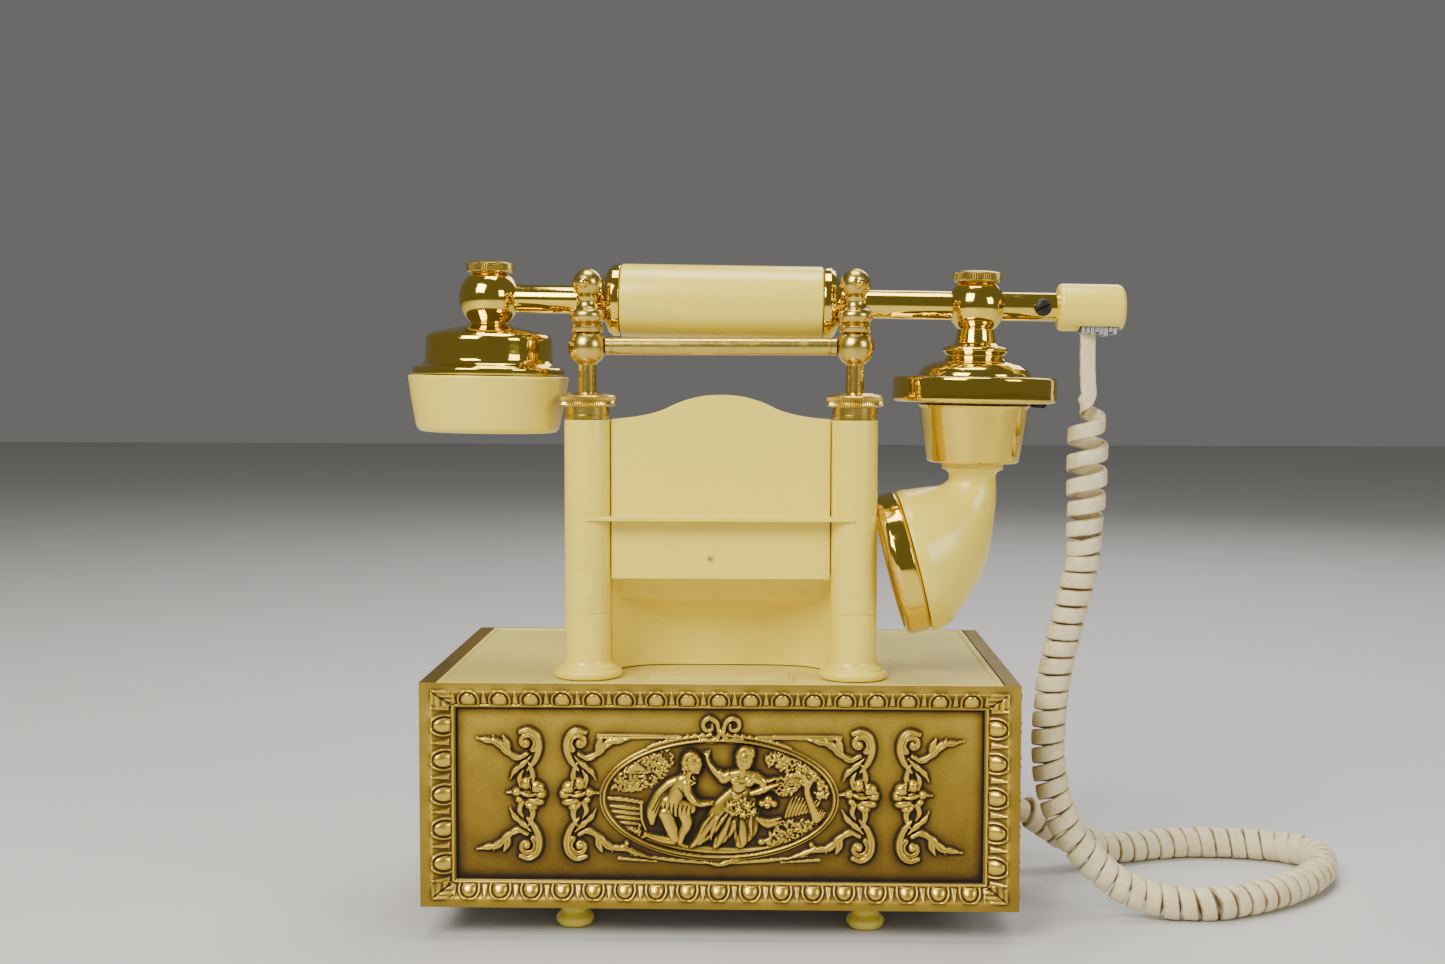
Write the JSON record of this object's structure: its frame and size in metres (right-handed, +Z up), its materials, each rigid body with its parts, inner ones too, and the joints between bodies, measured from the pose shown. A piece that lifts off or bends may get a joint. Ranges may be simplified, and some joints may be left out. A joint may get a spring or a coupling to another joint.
{
  "type": "cradle telephone",
  "caption": "French-style desk telephone: gilt relief box base, cream dial housing between two columns, sprung cradle and a brass and cream handset on a curly cord.",
  "frame": {"origin": "under the middle of the whole object's box, without the free cord, at the soles of the feet", "axes": "+X along the handset towards the mouthpiece and cord end, +Y towards the dial and the user, +Z up"},
  "size_m": [0.3912, 0.152, 0.2632],
  "materials": {
    "cast_gilt": "antique gilt casting with dark patina",
    "steel": "plated sheet steel",
    "grommet": "matt rubber",
    "cream": "warm cream, soft gloss",
    "satin_brass": "satin brass",
    "polished_brass": "polished brass",
    "ivory": "ivory card",
    "bell_metal": "plated bell metal",
    "dark_plastic": "black phenolic",
    "cord": "aged off-white cord sleeve"
  },
  "bodies": {
    "phone": {"side_rear": "cast_gilt", "side_right": "cast_gilt", "side_front": "cast_gilt", "side_left": "cast_gilt", "base_plate": "steel", "line_inlet_grommet": "grommet", "foot_1": "cream", "foot_2": "cream", "foot_3": "cream", "foot_4": "cream", "top_cover": "cream", "column_left": "cream", "column_right": "cream", "collar_nut_left": "satin_brass", "collar_nut_right": "satin_brass", "arched_plate": "cream", "dial_housing": "cream", "dial_bezel": "polished_brass", "number_plate": "ivory", "finger_stop": "satin_brass", "dial_chassis": "steel", "switch_bracket": "steel", "gong_rear": "bell_metal", "gong_front": "bell_metal", "ringer_frame": "steel", "ringer_coil": "bell_metal", "network_box": "dark_plastic", "hook_spring": "steel", "cord_lead": "cord", "cord_coil": "cord", "cord_tail": "cord", "cord_gland": "grommet"},
    "cradle": {"cradle_post_left": "satin_brass", "cradle_post_right": "satin_brass", "saddle_arm_left": "satin_brass", "saddle_arm_right": "satin_brass", "cradle_crossbar": "satin_brass", "hook_bridge": "steel"},
    "switch_lever": {"switch_lever": "bell_metal"},
    "clapper": {"clapper": "steel"},
    "dial": {"finger_wheel": "polished_brass", "centre_card": "ivory", "dial_spindle": "steel"},
    "governor": {"governor": "bell_metal"},
    "handset": {"handset_rod": "polished_brass", "handset_grip": "cream", "ferrule_left": "polished_brass", "ferrule_right": "polished_brass", "receiver_nut": "satin_brass", "receiver_cup": "polished_brass", "receiver_unit": "steel", "receiver_cap": "cream", "transmitter_crown": "polished_brass", "transmitter_nut": "satin_brass", "transmitter_drum": "polished_brass", "transmitter_unit": "steel", "transmitter_cone": "polished_brass", "mouth_horn": "cream", "mouth_ring": "polished_brass", "cord_cap": "cream"}
  },
  "joints": [
    {"name": "cradle_travel", "type": "slide", "parent": "phone", "child": "cradle", "axis": [0, 0, 1], "range_m": [0, 0.006], "stiffness_N_per_m": 400, "springref_m": 0.015, "deforming": ["hook_spring"]},
    {"name": "switch_lever_turn", "type": "hinge", "parent": "phone", "child": "switch_lever", "pos_m": [0.0571, -0.057, 0.0257], "axis": [0, 1, 0], "range_deg": [0, 17.5]},
    {"name": "clapper_swing", "type": "hinge", "parent": "phone", "child": "clapper", "pos_m": [-0.0489, 0.006, 0.0445], "axis": [0, 0, 1], "range_deg": [-3.2, 3.2], "stiffness_Nm_per_rad": 0.004},
    {"name": "dial_turn", "type": "hinge", "parent": "phone", "child": "dial", "pos_m": [-0.0169, -0.00268, 0.15264], "axis": [0, 0.7431, 0.6691], "range_deg": [-320, 0], "stiffness_Nm_per_rad": 0.006},
    {"name": "governor_spin", "type": "hinge", "parent": "phone", "child": "governor", "pos_m": [-0.0389, -0.02973, 0.16326], "axis": [0, -0.6691, 0.7431], "range_deg": [0, 1925]},
    {"name": "handset_lift", "type": "slide", "parent": "phone", "child": "handset", "axis": [0, 0, 1], "range_m": [0, 0.028]}
  ],
  "couplings": [
    {"joint": "cradle_travel", "follows": "handset_lift", "ratio": 0.21429},
    {"joint": "switch_lever_turn", "follows": "handset_lift", "rad_per_m": 10.714},
    {"joint": "governor_spin", "follows": "dial_turn", "ratio": -6}
  ]
}
